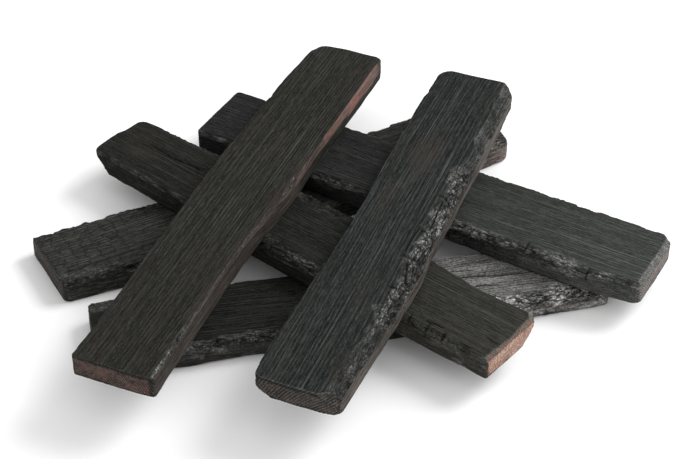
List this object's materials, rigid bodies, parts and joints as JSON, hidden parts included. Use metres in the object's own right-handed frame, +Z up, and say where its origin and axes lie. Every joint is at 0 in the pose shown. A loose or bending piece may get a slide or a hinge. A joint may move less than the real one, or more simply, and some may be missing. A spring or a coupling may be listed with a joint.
{
  "type": "pile of charred wood sticks",
  "caption": "Loose crosswise pile of flat charred wooden sticks with worn, cracked edges, square-cut ends and a strip of unburnt wood showing.",
  "frame": {"origin": "on the floor, under the middle of the pile's bounding box", "axes": "+X along the pile's longest side, +Y towards its back, +Z up, across the flat layers"},
  "size_m": [0.5456, 0.4708, 0.0642],
  "materials": {
    "even_char": "matte char with a faint silver sheen on the worn edges",
    "grooved_char": "matte char with a faint silver sheen on the worn edges",
    "flaky_char": "matte char with a faint silver sheen on the worn edges",
    "checked_char": "matte char with a faint silver sheen on the worn edges",
    "silvery_char": "matte char with a faint silver sheen on the worn edges"
  },
  "bodies": {
    "top_left_stick": {"top_left_stick": "even_char"},
    "top_right_stick": {"top_right_stick": "grooved_char"},
    "middle_front_stick": {"middle_front_stick": "flaky_char"},
    "middle_back_stick": {"middle_back_stick": "even_char"},
    "bottom_back_stick": {"bottom_back_stick": "checked_char"},
    "bottom_front_stick": {"bottom_front_stick": "silvery_char"}
  },
  "joints": [
    {"name": "bottom_back_lift", "type": "slide", "parent": "bottom_front_stick", "child": "bottom_back_stick", "axis": [0, 0, 1], "range_m": [0, 0.1]},
    {"name": "middle_back_lift", "type": "slide", "parent": "bottom_back_stick", "child": "middle_back_stick", "axis": [0, 0, 1], "range_m": [0, 0.1]},
    {"name": "middle_front_lift", "type": "slide", "parent": "middle_back_stick", "child": "middle_front_stick", "axis": [0, 0, 1], "range_m": [0, 0.1]},
    {"name": "top_left_lift", "type": "slide", "parent": "middle_front_stick", "child": "top_left_stick", "axis": [0, 0, 1], "range_m": [0, 0.1]},
    {"name": "top_right_lift", "type": "slide", "parent": "middle_front_stick", "child": "top_right_stick", "axis": [0, 0, 1], "range_m": [0, 0.1]}
  ]
}
